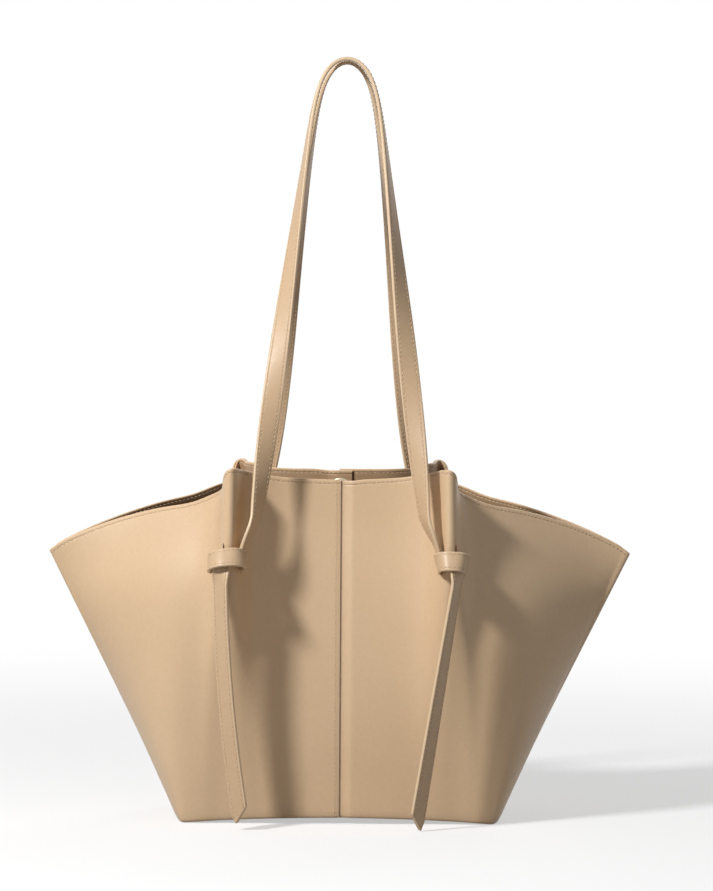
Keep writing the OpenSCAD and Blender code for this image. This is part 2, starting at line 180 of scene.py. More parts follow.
def solid(name, loops, kinds, materials, body=None, wear_and_painted_light=None):
    """A closed mesh from loops of points in mm: array (sections, loop points, 3), or several such
    sweeps in one array. Neighbouring loops are joined, and each end is capped by joining point i
    with the last but i. kinds is the material index of each segment of a loop, and wear the value
    of the wear attribute at each point: rubbing, painted highlight on edges and painted shade in grooves."""
    sweeps = loops.reshape(-1, *loops.shape[-3:])
    n, u, v = sweeps.shape[:3]
    index = np.arange(u * v).reshape(u, v)
    a, b = index[:-1], index[1:]
    sides = np.stack([a, b, np.roll(b, -1, 1), np.roll(a, -1, 1)], -1).reshape(-1, 4)
    half = np.arange(v // 2 - 1)
    cap = np.stack([half, half + 1, v - 2 - half, v - 1 - half], -1)
    one = np.concatenate([sides, cap, index[-1, 0] + cap[:, ::-1]])
    faces = (np.arange(n)[:, None, None] * u * v + one).reshape(-1, 4)
    kind = np.tile(np.concatenate([np.tile(kinds, u - 1), np.full(2 * len(cap), max(kinds))]), n)
    points = sweeps.reshape(-1, 3) / mm_per_metre
    q = points[faces]
    if np.einsum("ix,ix->", q[:, 0], np.cross(q[:, 1], q[:, 2]) + np.cross(q[:, 2], q[:, 3])) < 0:
        faces = faces[:, ::-1]
    mesh = bpy.data.meshes.new(name)
    mesh.vertices.add(len(points))
    mesh.vertices.foreach_set("co", points.ravel())
    mesh.loops.add(faces.size)
    mesh.loops.foreach_set("vertex_index", faces.ravel())
    mesh.polygons.add(len(faces))
    mesh.polygons.foreach_set("loop_start", np.arange(0, faces.size, 4))
    mesh.polygons.foreach_set("material_index", kind)
    mesh.polygons.foreach_set("use_smooth", np.ones(len(faces), bool))
    if wear_and_painted_light is not None:
        wear_and_painted_light_layer = mesh.attributes.new("wear_and_painted_light", "FLOAT", "POINT")
        wear_and_painted_light_layer.data.foreach_set("value", np.broadcast_to(wear_and_painted_light, (u, v)).ravel())
    mesh.update(calc_edges=True)
    for material in materials:
        mesh.materials.append(material)
    mesh.set_sharp_from_angle(angle=crease)
    obj = bpy.data.objects.new(name, mesh)
    bpy.context.scene.collection.objects.link(obj)
    if body:
        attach(obj, body)
    return obj


class Shade:
    """A socket of a material. Arithmetic on it adds math nodes; node() adds any other node."""

    def __init__(self, tree, socket=None):
        self.tree, self.socket = tree, socket

    def node(self, kind, settings, inputs, out=0):
        made = self.tree.nodes.new("ShaderNode" + kind)
        for key, value in settings.items():
            setattr(made, key, value)
        for key, value in inputs.items():
            if isinstance(value, Shade):
                self.tree.links.new(value.socket, made.inputs[key])
            else:
                made.inputs[key].default_value = value
        return Shade(self.tree, made.outputs[out] if len(made.outputs) else None)

    def math(self, kind, *parts):
        return self.node("Math", {"operation": kind}, dict(enumerate(parts)))

    def __add__(self, other):
        return self.math("ADD", self, other)

    def __sub__(self, other):
        return self.math("SUBTRACT", self, other)

    def __rsub__(self, other):
        return self.math("SUBTRACT", other, self)

    def __mul__(self, other):
        return self.math("MULTIPLY", self, other)

    __radd__, __rmul__ = __add__, __mul__

    def step(self, low, high):
        """0 below low and 1 above high, smooth between."""
        return self.node("MapRange", {"interpolation_type": "SMOOTHSTEP"}, {0: self, 1: low, 2: high})

    def blend(self, first, second):
        """A colour from first at 0 to second at 1."""
        return self.node("Mix", {"data_type": "RGBA"}, {0: self, 6: first, 7: second}, 2)


def srgb(r, g, b):
    """A colour written in 0 to 255, as a linear one."""
    c = np.array([r, g, b]) / 255
    return (*np.where(c <= 0.04045, c / 12.92, ((c + 0.055) / 1.055) ** 2.4), 1)


def bare_material(name):
    """A material without nodes, and the Shade that adds them."""
    material = bpy.data.materials.new(name)
    material.use_nodes = True
    material.node_tree.nodes.clear()
    return material, Shade(material.node_tree)


def leather(name, light, dark, edge, rough, pores, relief):
    """Leather: light to dark over the hide in soft clouds, with pores per metre of the given relief in
    metres. The wear attribute is 1 on edges, glossier from rubbing and lightened to the edge colour as a
    painted highlight, and -1 in a stitched groove, darkened to 0.68 of the dark tone: squeezed leather and
    painted shade."""
    material, s = bare_material(name)
    at = s.node("TexCoord", {}, {}, 3)
    wear_and_painted_light = s.node("Attribute", {"attribute_name": "wear_and_painted_light"}, {}, 2)
    clouds = s.node("TexNoise", {}, {0: at, "Scale": 7.0, "Detail": 2.0})
    mottle = s.node("TexNoise", {}, {0: at, "Scale": 260.0, "Detail": 5.0, "Roughness": 0.6})
    pebbles = s.node("TexVoronoi", {}, {0: at, "Scale": pores})
    fine = s.node("TexNoise", {}, {0: at, "Scale": pores * 3, "Detail": 2.0})
    tone = clouds.step(0.3, 0.7) * 0.55 + mottle.step(0.25, 0.75) * 0.3 + pebbles.step(0.2, 0.8) * 0.15
    height = (1 - pebbles * pebbles) * 0.8 + fine * 0.3 + mottle * 0.9
    bump = s.node("Bump", {}, {"Strength": 1.0, "Distance": relief, "Height": height})
    # Painted highlight: edges lightened to the edge colour.
    rubbed_and_highlit = wear_and_painted_light.step(0.15, 1.0).blend(tone.blend(light, dark), edge)
    # Painted shade, with the thread's squeezing: stitched grooves darkened to 0.68 of the dark tone.
    pressed_and_shaded = tuple(0.68 * v for v in dark[:3]) + (1,)
    colour = (0 - wear_and_painted_light).step(0.1, 1.0).blend(rubbed_and_highlit, pressed_and_shaded)
    surface = s.node("BsdfPrincipled", {}, {
        "Base Color": colour, "Roughness": rough + mottle * 0.14 - wear_and_painted_light * 0.08, "Normal": bump,
        "Specular IOR Level": 0.45, "Coat Weight": 0.08 + wear_and_painted_light * 0.1, "Coat Roughness": 0.3})
    s.node("OutputMaterial", {}, {0: surface})
    return material


# Each leather's third colour, lighter than its first, is a painted highlight on its edges.
grain = leather("body_grain", srgb(211, 183, 149), srgb(201, 171, 136), srgb(219, 193, 160),
                rough=0.38, pores=800.0, relief=0.00004)
cut_edge = leather("cut_edge", srgb(206, 174, 137), srgb(184, 149, 111), srgb(214, 184, 148),
                   rough=0.5, pores=1500.0, relief=0.00006)
# The flesh side's own matt brown, darkened further as painted shade for the inside of the bag.
flesh_painted_shade = leather("flesh_side_painted_shade", srgb(160, 130, 99), srgb(146, 116, 86), srgb(158, 127, 95),
                rough=0.85, pores=1800.0, relief=0.00012)

# A half ends 0.5 past the front seam, over its neighbour, and 10 past the back one, under it.
lap_over, lap_under = 0.5, 10
over_end = 15 + lap_over / seam_pitch
under_end = 15 + lap_under / seam_pitch
step_from, step_to, step_depth = 11, 2.5, 2.1
row_drop, groove_half, groove_depth = 3, 0.45, 0.3
lap_row_drop = row_drop + 0.75


def step_in(col):
    """How far a half steps in under its neighbour: 2.1 mm, from 11 to 2.5 mm before the back seam."""
    return step_depth * smooth((col - 15 + step_from / seam_pitch) * seam_pitch / (step_from - step_to))


def rim(thick):
    """A rounded edge of a sheet: how far short of the edge, and how deep, from one face to the other."""
    phi = np.linspace(0, math.pi, 8)
    return thick / 2 * (1 - np.sin(phi)), thick / 2 * (1 - np.cos(phi))


def placed(loops, spin):
    """The right half is the left one turned half round; then the whole bag settles."""
    return settle(loops @ np.diag([spin, spin, 1.0]))


half_cols = np.concatenate([np.linspace(-over_end, -14.5, 12)[:-1], np.linspace(-14.5, 14.5, 233),
                            np.linspace(14.55, under_end, 19)])
edge_drops = np.array([34, 27, 21, 16, 12, 9, 7, 5.5, 4.5, 3.9, 3.5, 3.2, 3, 2.8, 2.5, 2.1, 1.6])


def trimmed(at):
    """The layer that lies under a lap is cut 1 mm lower at the mouth."""
    return smooth((at - 14.35) / 0.4)


def stitch_groove(drop):
    """The share of its full depth that the thread pulls a line in: exp(-((drop - 3) / 0.45)^2)."""
    return np.exp(-(((drop - row_drop) / groove_half) ** 2))


def body_half(name, spin):
    """Loops run from the turned-in foot up the outer face, round the mouth's edge and down inside. The
    outer face draws in by (1 - z / 9)^2 over its lowest 9 mm, and the edge that laps over is skived
    by 0.7 mm over 3."""
    at = half_cols[:, None]
    short, deep = rim(leather_t)
    lip, turn = 2.0, np.radians([90, 60, 30, 0])
    foot_z = np.concatenate([lip * (1 - np.sin(turn)), [3.2, 4.6, 6.4, 8.8]])
    foot_turn = np.pad(lip * (1 - np.cos(turn)), (0, 4)) + (1 - foot_z / 9) ** 2
    foot_out = row_at(at, foot_z)
    foot_in = row_at(at, np.array([3.4, 2.4, 1.9, 1.2]))
    top = row_down(at, edge_drops + trimmed(at))
    wall = foot_out[:, -1:] + (top[:, :1] - foot_out[:, -1:]) * np.linspace(0, 1, 56)[1:-1]
    mouth_edge = row_down(at, short + trimmed(at))
    rows = np.concatenate([foot_out, wall, top, mouth_edge, top[:, ::-1], wall[:, ::-1], foot_in], 1)
    flat = 0 * wall[0]
    inward = np.concatenate([foot_turn, flat, groove_depth * stitch_groove(edge_drops), deep,
                             leather_t + 0 * edge_drops, leather_t + flat, [leather_t, 2.6, 3.9, 3.9]])
    face = len(foot_z) + len(flat) + len(edge_drops)
    outer = np.arange(len(inward)) < face + len(deep) // 2
    from_lap = (at + over_end) * seam_pitch
    skived = 0.7 * smooth(1 - from_lap / 3)
    seam = stitch_groove(from_lap - lap_row_drop + row_drop)
    loops = skin(at, rows, step_in(at) + inward + outer * (skived + groove_depth * seam))
    far = np.full(len(flat) + 4, 40.0)
    near = np.concatenate([far, far[:4], edge_drops, short, edge_drops[::-1], far])
    side = np.minimum((under_end - at) * seam_pitch, from_lap)
    # Painted light: lighter near the mouth's edge and the laps as painted highlight, darker in stitched
    # grooves as painted shade.
    wear_and_painted_light = np.exp(-np.minimum(near, side + 0.3) / 0.9) - outer * np.maximum(stitch_groove(near), seam)
    kinds = np.repeat([0, 1, 2], [face, len(deep) - 1, len(inward) - face - len(deep) + 1])
    obj = solid(name + "_leather", placed(loops, spin), kinds, [grain, cut_edge, flesh_painted_shade], "bag", wear_and_painted_light)
    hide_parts(name)
    return obj


slit_cols = (-9.95, -11.6, 9.95, 11.6)
slit_mid, slit_half = 212.5, 13.1


def slits(name, spin):
    """Cutters for the lens-shaped slits beside each pleat's nose, which the strap goes through. Each
    opens by 3 sqrt(1 - ((z - 212.5) / 13.1)^2) mm."""
    z = np.linspace(slit_mid - 13, slit_mid + 13, 25)
    open_by = 1.5 * np.sqrt(np.clip(1 - ((z - slit_mid) / slit_half) ** 2, 0.002, 1))
    cutters = []
    for col in slit_cols:
        row = row_at(col, z)
        e = 1e-3
        pace = np.linalg.norm(skin(col + e, row) - skin(col - e, row), axis=-1) / (2 * e)
        cutters.append(np.stack([skin(col + side * open_by / pace, row, deep)
                                 for side, deep in ((-1, -3), (1, -3), (1, 5), (-1, 5))], 1))
    return solid(name, placed(np.array(cutters), spin), np.zeros(4, int), [cut_edge])


for half_name, spin in (("left_body_half", 1), ("right_body_half", -1)):
    half, cutter = body_half(half_name, spin), slits(half_name + "_slits", spin)
    cut = half.modifiers.new("slits", "BOOLEAN")
    cut.operation, cut.solver, cut.object, cut.material_mode = "DIFFERENCE", "EXACT", cutter, "TRANSFER"
    bpy.context.view_layer.update()
    half.data = bpy.data.meshes.new_from_object(half.evaluated_get(bpy.context.evaluated_depsgraph_get()))
    half.modifiers.clear()
    half.data.set_sharp_from_angle(angle=crease)
    bpy.data.objects.remove(cutter)

# Stitching of the mouth and the laps: waxed thread a shade lighter than the leather, 3.6 mm a stitch,
# each one sunk at its ends. One row holds the facing under the mouth's edge, and one row closes each
# centre seam beside the lap.
stitch_pitch, stitch_half, stitch_slant, thread_r = 3.6, 1.42, 0.13, 0.27


def stitches(name, lines, ups, body=None):
    """A capsule for each stitch along lines of points on surfaces whose normals are ups, slanted by
    0.13 radians. Its height over the surface is 0.2 - 0.42 t^2 and its radius 0.27 sqrt(1 - 0.75 t^4),
    for t from -1 to 1."""
    parts = []
    for line, up in zip(lines, ups):
        run = np.concatenate([[0], np.cumsum(np.linalg.norm(np.diff(line, axis=0), axis=1))])
        count = int(run[-1] / stitch_pitch)
        at = (np.arange(count) + 0.5) * run[-1] / count

        def sample(values, where):
            return np.stack([np.interp(where, run, values[:, k]) for k in range(3)], -1)

        along = sample(line, at + 0.6) - sample(line, at - 0.6)
        along /= np.linalg.norm(along, axis=1, keepdims=True)
        side = np.cross(along, sample(up, at))
        side /= np.linalg.norm(side, axis=1, keepdims=True)
        high = np.cross(side, along)
        along = along * math.cos(stitch_slant) + side * math.sin(stitch_slant)
        t = np.linspace(-1, 1, 5)[:, None]
        radius, phi = thread_r * np.sqrt(1 - 0.75 * t**4), np.linspace(0, 2 * math.pi, 7)[:-1]
        a, b, c = stitch_half * t + 0 * phi, radius * np.cos(phi), radius * np.sin(phi) + 0.2 - 0.42 * t**2
        parts.append(sample(line, at)[:, None, None] + a[..., None] * along[:, None, None]
                     + b[..., None] * side[:, None, None] + c[..., None] * high[:, None, None])
    obj = solid(name, np.concatenate(parts), np.zeros(6, int), [thread], body)
    return obj


def waxed_thread():
    """Twisted thread: a diagonal wave across the stitch, satin."""
    material, s = bare_material("thread")
    at = s.node("TexCoord", {}, {}, 3)
    ply = s.node("TexWave", {"bands_direction": "DIAGONAL"}, {0: at, "Scale": 900.0, "Distortion": 1.0}, 1)
    fuzz = s.node("TexNoise", {}, {0: at, "Scale": 4000.0})
    bump = s.node("Bump", {}, {"Strength": 0.6, "Distance": 0.00008, "Height": ply})
    surface = s.node("BsdfPrincipled", {}, {
        "Base Color": (ply * 0.7 + fuzz * 0.3).blend(srgb(202, 174, 139), srgb(228, 206, 175)),
        "Roughness": 0.5 + fuzz * 0.2, "Normal": bump})
    s.node("OutputMaterial", {}, {0: surface})
    return material


thread = waxed_thread()


def seam_line(col, row, inward, spin, out):
    """Points on a body surface and the normals there; out is 1 outside and -1 inside the bag."""
    line = placed(skin(col, row, inward), spin)
    return line, (placed(skin(col, row, inward - 1.0), spin) - line) * out


def mouth_seams():
    """Lines 3 mm under the mouth's edge, outside and inside on both halves, and their normals."""
    found = []
    for spin in (1, -1):
        col = np.linspace(-over_end + 0.05, 15 - 6 / seam_pitch, 900)
        found.append(seam_line(col, row_down(col, row_drop), step_in(col) + 0.12, spin, 1))
        col = np.linspace(-15 + 12 / seam_pitch, 15, 900)
        found.append(seam_line(col, row_down(col, row_drop), step_in(col) + leather_t + 1.12, spin, -1))
    return zip(*found)


def lap_seams():
    """A line 3.75 mm beside each lap's edge, from the floor to 6 mm under the mouth, and its normals."""
    col = -over_end + lap_row_drop / seam_pitch
    row = np.linspace(0.06, float(row_down(np.array(col), 6.0)), 300)
    return zip(*[seam_line(np.full(300, col), row, 0.12, spin, 1) for spin in (1, -1)])


stitches("mouth_stitches", *mouth_seams(), "bag")
stitches("lap_stitches", *lap_seams(), "bag")

# Base and board: the base panel, of the body's leather, is sewn inside the turned-in lower edge with
# its seam hidden. A stiff grey board lies on it and keeps the bottom flat.


def floor_line(inset):
    """The body's outline at the floor, drawn in, as a loop that starts at the left side."""
    col = np.concatenate([np.linspace(0, 11, 30), np.linspace(11.5, 15, 8)])
    front = skin(-col, 0.0, inset)[:, :2]
    quarter = np.concatenate([front, (front * [-1, 1])[-2::-1]])
    return np.concatenate([quarter, (quarter * [1, -1])[-2:0:-1]])


def base_layer(name, inset, z0, z1, material):
    """A sheet from height z0 to z1 with a round edge, its outline drawn in by inset."""
    loops = np.array([np.pad(floor_line(inset + short), ((0, 0), (0, 1)), constant_values=z0 + deep)
                      for short, deep in zip(*rim(z1 - z0))])
    obj = solid(name + "_sheet", settle(loops), np.zeros(loops.shape[1], int), [material], "bag")
    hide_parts(name)


board_grey = leather("board_surface", srgb(98, 92, 86), srgb(80, 75, 70), srgb(70, 66, 62),
                     rough=0.8, pores=700.0, relief=0.00005)
base_layer("base_panel", 3.95, 0.0, 2.0, grain)
base_layer("base_board", 7.2, 2.3, 4.8, board_grey)

# Mouth facings: a strip of thinner leather inside the mouth of each half, 30 mm deep, its flesh side
# hidden, sewn on by the row of stitches under the mouth's edge.
facing_t, facing_h = 1.2, 30
# The lining's tones are darkened as painted shade inside the mouth; its lighter edge colour is a painted
# highlight.
lining_painted_shade = leather("lining_grain_painted_shade", srgb(174, 143, 111), srgb(161, 131, 99), srgb(186, 156, 123),
                 rough=0.5, pores=1000.0, relief=0.00004)


def facing(name, spin):
    """Loops run from the lower edge up the hidden face, round the upper edge and down inside."""
    col = np.concatenate([np.linspace(-15 + (lap_under + 1) / seam_pitch, 14.5, 220),
                          np.linspace(14.55, under_end - 0.02, 16)])[:, None]
    short, deep = rim(facing_t)
    drops = edge_drops[1:]
    down = np.concatenate([facing_h - short[4:], drops, short, drops[::-1], facing_h - short[:4]])
    depth = np.concatenate([facing_t - deep[4:], 0 * drops, deep,
                            facing_t - groove_depth * stitch_groove(drops[::-1]), facing_t - deep[:4]])
    loops = skin(col, row_down(col, down + trimmed(col)), step_in(col) + leather_t + 0.04 + depth)
    kinds = np.zeros(len(down), int)
    kinds[3 + len(drops):12 + len(drops)] = 1
    # Painted highlight: lighter towards both edges of the facing.
    wear_and_painted_light = np.exp(-np.minimum(down, facing_h - down) / 1.3)[None]
    obj = solid(name + "_leather", placed(loops, spin), kinds, [lining_painted_shade, cut_edge], "bag", wear_and_painted_light)
    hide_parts(name)


facing("left_mouth_facing", 1)
facing("right_mouth_facing", -1)

# Inner pocket: a slip pocket of the same thin leather on the back's inside, sewn round three sides,
# its top edge free, with a row of stitches along it.
pocket_half, pocket_low, pocket_top, pocket_t = 60, 133, 238, 1.0


def pocket_at(f, z, depth):
    """f runs from -1 at the left edge to 1 at the right; it stands off the wall by 3.9 (1 - f^4)."""
    col = 15 - np.abs(f) * pocket_half / seam_pitch
    p = skin(col, row_at(col, z), leather_t + 0.3 + 3.9 * (1 - f**4) + depth)
    return settle(p * np.stack([np.where(f > 0, -1, 1), 1 + 0 * f, 1 + 0 * f], -1))


def pocket():
    """Loops run up the hidden face, round the top edge and down the shown face, from side to side."""
    steps = 24
    short, deep = rim(pocket_t)
    rise = np.linspace(pocket_low, pocket_top - 2, steps)
    f, z, depth = np.broadcast_arrays(np.linspace(-1, 1, 49)[:, None],
                                      np.concatenate([rise, pocket_top - short, rise[::-1]]),
                                      np.concatenate([0 * rise, deep, pocket_t + 0 * rise]))
    kinds = np.repeat([0, 1, 0], [steps, len(deep) - 1, steps + 1])
    # The last value lightens the pocket's top edge as a painted highlight.
    obj = solid("inner_pocket_leather", pocket_at(f, z, depth), kinds, [lining_painted_shade, cut_edge], "bag",
                np.exp(-(pocket_top - z) / 1.3))
    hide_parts("inner_pocket")
    row_f, row_low, row_top = 0.95, pocket_low + 3, pocket_top - 6
    border = np.concatenate([np.stack([np.full(60, -row_f), np.linspace(row_top, row_low, 60)], -1),
                             np.stack([np.linspace(-row_f, row_f, 80), np.full(80, row_low)], -1),
                             np.stack([np.full(60, row_f), np.linspace(row_low, row_top, 60)], -1)])
    hem = np.stack([np.linspace(-0.97, 0.97, 80), np.full(80, pocket_top - 3)], -1)
    lines = [pocket_at(q[:, 0], q[:, 1], pocket_t) for q in (border, hem)]
    ups = [pocket_at(q[:, 0], q[:, 1], pocket_t + 1) - line for q, line in zip((border, hem), lines)]
    stitches("pocket_stitches", lines, ups, "bag")


pocket()

# Magnetic snap: two turned brass discs with a pale finish, one riveted on each facing at the centre.
# The front one is the cap with a shallow cup, and the back one has the stud.


def brushed_brass():
    """Pale metal, a little hazy: two near tones over a fine noise, which also roughens it."""
    material, s = bare_material("pale_brass")
    at = s.node("TexCoord", {}, {}, 3)
    haze = s.node("TexNoise", {}, {0: at, "Scale": 300.0, "Detail": 4.0})
    surface = s.node("BsdfPrincipled", {}, {
        "Base Color": haze.step(0.3, 0.7).blend(srgb(214, 202, 178), srgb(196, 184, 158)), "Metallic": 1.0,
        "Roughness": 0.28 + haze * 0.2})
    s.node("OutputMaterial", {}, {0: surface})
    return material


snap_metal = brushed_brass()
snap_z, snap_reach, snap_in = 257.0, 9.0, leather_t + 3.36


def snap_half(name, spin, profile):
    """A body of revolution: rings of the profile's radii and heights about the facing's normal."""
    low, mid, high = (skin(15.0, row_at(15.0, snap_z + z), snap_in) for z in (-snap_reach, 0, snap_reach))
    rise = (high - low) / np.linalg.norm(high - low)
    axis, centre = np.array([0, rise[2], rise[1]]), mid * [0, -1, 1]
    phi = np.linspace(0, 2 * math.pi, 49)[:-1]
    flat = np.cos(phi)[:, None] * [1, 0, 0] + np.sin(phi)[:, None] * np.array([0, -rise[1], rise[2]])
    loops = np.array([centre + r * flat + h * axis for r, h in profile])
    obj = solid(name + "_metal", placed(loops, spin), np.zeros(48, int), [snap_metal], "bag")
    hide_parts(name)


disc = [(8.4, 0), (9, 0.3), (9, 1.4), (8.7, 2.0), (8.1, 2.4), (7.2, 2.6)]
snap_half("front_snap_cap", 1, disc + [(5.4, 2.6), (5.1, 2.4), (4.9, 1.2), (1, 1.1)])
snap_half("back_snap_stud", -1, disc + [(4.5, 2.6), (4.1, 2.8), (4.0, 3.8), (3.6, 4.2), (1, 4.3)])

# Straps: each strap is one long strip of the same leather, folded double and sewn along both edges,
# 16 mm wide and 2.6 mm thick. It stands up as a narrow arch; each leg turns half round on its way
# down and goes into its knot.
strap_w, strap_t, strap_top = 16, 2.6, 606
row_in = 2.3
row_a, row_b = strap_w / 2 - row_in, strap_t / 2 - 0.02


def strip_half():
    """Half a strip's cross-section as (a, b), from its +a edge over the +b face to its -a edge: edges
    rounded by 0.8 mm, the face crowned by 0.25, with a groove 2.3 mm in for each row of stitches."""
    half_w, half_t, edge_r, crown_h = strap_w / 2, strap_t / 2, 0.8, 0.25
    phi = np.radians([0, 30, 60, 90])
    arc = np.stack([half_w - edge_r + edge_r * np.cos(phi), half_t - edge_r + edge_r * np.sin(phi)], -1)
    inset = np.array([1.3, 1.8, 2.05, row_in, 2.55, 2.8, 3.4, 5.5])
    crown = crown_h * (1 - ((half_w - inset) / half_w) ** 2)
    groove = 0.2 * np.exp(-(((inset - row_in) / 0.3) ** 2))
    right = np.concatenate([arc, np.stack([half_w - inset, half_t + crown - groove], -1)])
    return np.concatenate([right, [[0, half_t + crown_h]], right[::-1] * [-1, 1]])


section = np.concatenate([strip_half(), strip_half()[::-1] * [1, -1]])
section_kinds = np.tile(np.repeat([1, 0, 1], [3, 18, 4]), 2)
from_edge = strap_w / 2 - np.abs(section[:, 0])
# Along the strap: lighter near both edges as painted highlight, darker in each stitched groove as painted
# shade with the thread's squeezing.
section_wear_and_painted_light = (np.exp(-from_edge / 0.9) - np.exp(-(((from_edge - row_in) / 0.35) ** 2)))[None]
strap_grain = leather("strap_grain", srgb(199, 171, 138), srgb(188, 158, 124), srgb(208, 181, 148),
                      rough=0.38, pores=900.0, relief=0.00004)
# The strap's edge colour, lightened as a painted highlight of the edges catching the light.
strap_edge_painted_highlight = leather("strap_edge_painted_highlight", srgb(212, 186, 153), srgb(197, 168, 133), srgb(212, 186, 153),
                     rough=0.42, pores=1500.0, relief=0.00003)
arch_half, arch_round, arch_y, arch_lean = 22.5, 17, 8.4, 3.4
foot_x, foot_y = 70.4, 99


def unit(v):
    """Vectors of length 1."""
    return v / np.linalg.norm(v, axis=-1, keepdims=True)


def fallen(s):
    """The share of the drop at s: (1 - cos 180 s) / 2, from 0 at the arch's top to 1 at a foot."""
    return (1 - np.cos(np.pi * s)) / 2


def strap_line(s, nest, draw_in):
    """Centre line, s from -1 at the left foot to 1 at the right one. x = half sqrt(1 - exp(-down / 17))
    plus a straight slope to 70.4, less draw_in sin(180 share^3), plus 8 from 249 down to 215 mm
    high, where the leg bends to its knot. y goes straight from 8.4 to 99 and back by 3 over the last
    7 % of the drop. The arch leans 3.4 mm to the right; nest is how far it lies inside the other."""
    share = fallen(s)
    top, half = strap_top - strap_t / 2 - nest, arch_half - nest
    down = share * (top - knot_h)
    x = half * np.sqrt(1 - np.exp(-down / arch_round)) + (foot_x - half) * share
    x += 8 * smooth((249 - top + down) / 34) - draw_in * np.sin(np.pi * share**3)
    y = 3 * smooth((share - 0.93) / 0.07) - lerp(arch_y, foot_y, share)
    return np.stack([np.sign(s) * x + arch_lean * (1 - share), y, top - down], -1)


def gathered(s):
    """The strap's width as a share of the full one: it narrows by a third where it enters a knot."""
    return (1 - 0.33 * smooth((fallen(s) - 0.945) / 0.055))[:, None]


def strap_frame(s, nest, draw_in):
    """Centre, across and through at s: the face turns by 180 share^1.75 degrees."""
    e = 1e-4
    ahead, behind = (strap_line(at, nest, draw_in) for at in (np.minimum(s + e, 1), np.maximum(s - e, -1)))
    tangent = unit(ahead - behind)
    turn = np.pi * fallen(s) ** 1.75
    across = np.stack([-np.sign(s) * np.sin(turn), -np.cos(turn), 0 * s], -1)
    across = unit(across - (across * tangent).sum(-1, keepdims=True) * tangent)
    return strap_line(s, nest, draw_in), across, np.cross(across, tangent)


def strip_points(frame_of, a, b):
    """Points at a across and b through a strip, from arrays of centre, across and through."""
    centre, across, through = frame_of
    return centre[:, None] + a[..., None] * across[:, None] + b[..., None] * through[:, None]


def strip_piece(name, loops, body=None):
    """The mesh of a strap, knot or tail, which shows in place of its solid."""
    obj = solid(name + "_leather", loops, section_kinds, [strap_grain, strap_edge_painted_highlight], body, section_wear_and_painted_light)
    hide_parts(name)
    return obj


def face_rows(points_at, flip):
    """Two rows of stitches on both faces and their normals: points_at(a, b) gives a line along the
    strip, and flip carries it to its corner of the bag."""
    places = [(a, b) for b in (row_b, -row_b) for a in (row_a, -row_a)]
    lines = [points_at(a, b) * flip for a, b in places]
    return lines, [points_at(a, 2 * b) * flip - line for line, (a, b) in zip(lines, places)]


def strap(name, side, nest, draw_in):
    """The cross-section carried along the strap's line; side is 1 for the front strap, -1 for the back."""
    flip = [1, side, 1]
    s = np.linspace(-1, 1, 321)
    loops = strip_points(strap_frame(s, nest, draw_in), section[:, 0] * gathered(s), section[:, 1])
    obj = strip_piece(name, loops * flip)
    s = np.linspace(-0.985, 0.985, 900)
    row_frame = strap_frame(s, nest, draw_in)
    rows = face_rows(lambda a, b: strip_points(row_frame, a * gathered(s), np.array([b]))[:, 0], flip)
    for piece in (obj, stitches(name + "_stitches", *rows)):
        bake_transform(piece)


strap("front_strap", 1, 0, 0)
strap("back_strap", -1, 3.2, 4)

# Knots: each strap goes through two slits in the pleat, comes back over the pleat's nose as a band,
# and is tucked behind itself. The band arches up over the nose, and its lower rim stands off it.
knot_x, band_x, band_y, band_back, band_mid, tuck = 88.3, 14.2, 22.2, 90, 219, 6


def knot(name, sx, sy, ends, rise, tilt, cone):
    """A strip along a squarish oval round the pleat's nose, x = 14.2 cos^0.75 phi and y = 22.2
    sin^0.75 phi, phi from inside the pleat at its outer side over the front and back inside it.
    ends are the heights at the outer and inner side, rise how far it arches over the nose, tilt the
    angle its face leans back there, and cone how much wider it is at the top."""
    phi = np.radians(np.linspace(-84, 264, 141))
    over = np.clip(np.sin(phi), 0, 1)
    cos, sin = (np.sign(v) * np.abs(v) ** 0.75 for v in (np.cos(phi), np.sin(phi)))
    height = lerp(ends[0], ends[1], (1 - cos) / 2) + rise * over
    deep = np.where(sin > 0, band_y, tuck)
    centre = np.stack([-knot_x - band_x * cos, -band_back - deep * sin, height], -1)
    out = unit(np.stack([-np.cos(phi), -np.sin(phi), 0 * phi], -1))
    lean = np.radians(tilt) * over
    across = np.cos(lean)[:, None] * [0, 0, 1] - np.sin(lean)[:, None] * out
    through = unit(np.cross(across, np.gradient(centre, axis=0)))
    front = (phi > 0.1) & (phi < math.pi - 0.1)
    flip = [sx, sy, 1]

    def points(a, b):
        p = strip_points((centre, across, through), np.atleast_1d(a), np.atleast_1d(b))
        p[..., 0] = -knot_x + (p[..., 0] + knot_x) * (1 + cone * (p[..., 2] - band_mid) / strap_w)
        return p

    strip_piece(name, points(section[:, 0], section[:, 1]) * flip, "bag")
    stitches(name + "_stitches", *face_rows(lambda a, b: points(a, b)[front, 0], flip), "bag")


knot("front_left_knot", 1, 1, (208.5, 211), 5.6, 36, 0.05)
knot("front_right_knot", -1, 1, (207.8, 208.8), 5, 26, 0.3)
knot("back_left_knot", 1, -1, (207.5, 208.5), 6, 30, 0.2)
knot("back_right_knot", -1, -1, (208.5, 209.5), 6, 32, 0.08)

# Tails: the strap's loose ends, of the same sewn strip. They hang from under the bands, turned
# outwards, each cut to a blunt point, with the stitches running round the cut.
tail_x, tail_y, tail_top = 93.2, 108.8, 214
long_cut, short_cut, point_at, cut_row = 13, 9.5, -0.6, 2.8


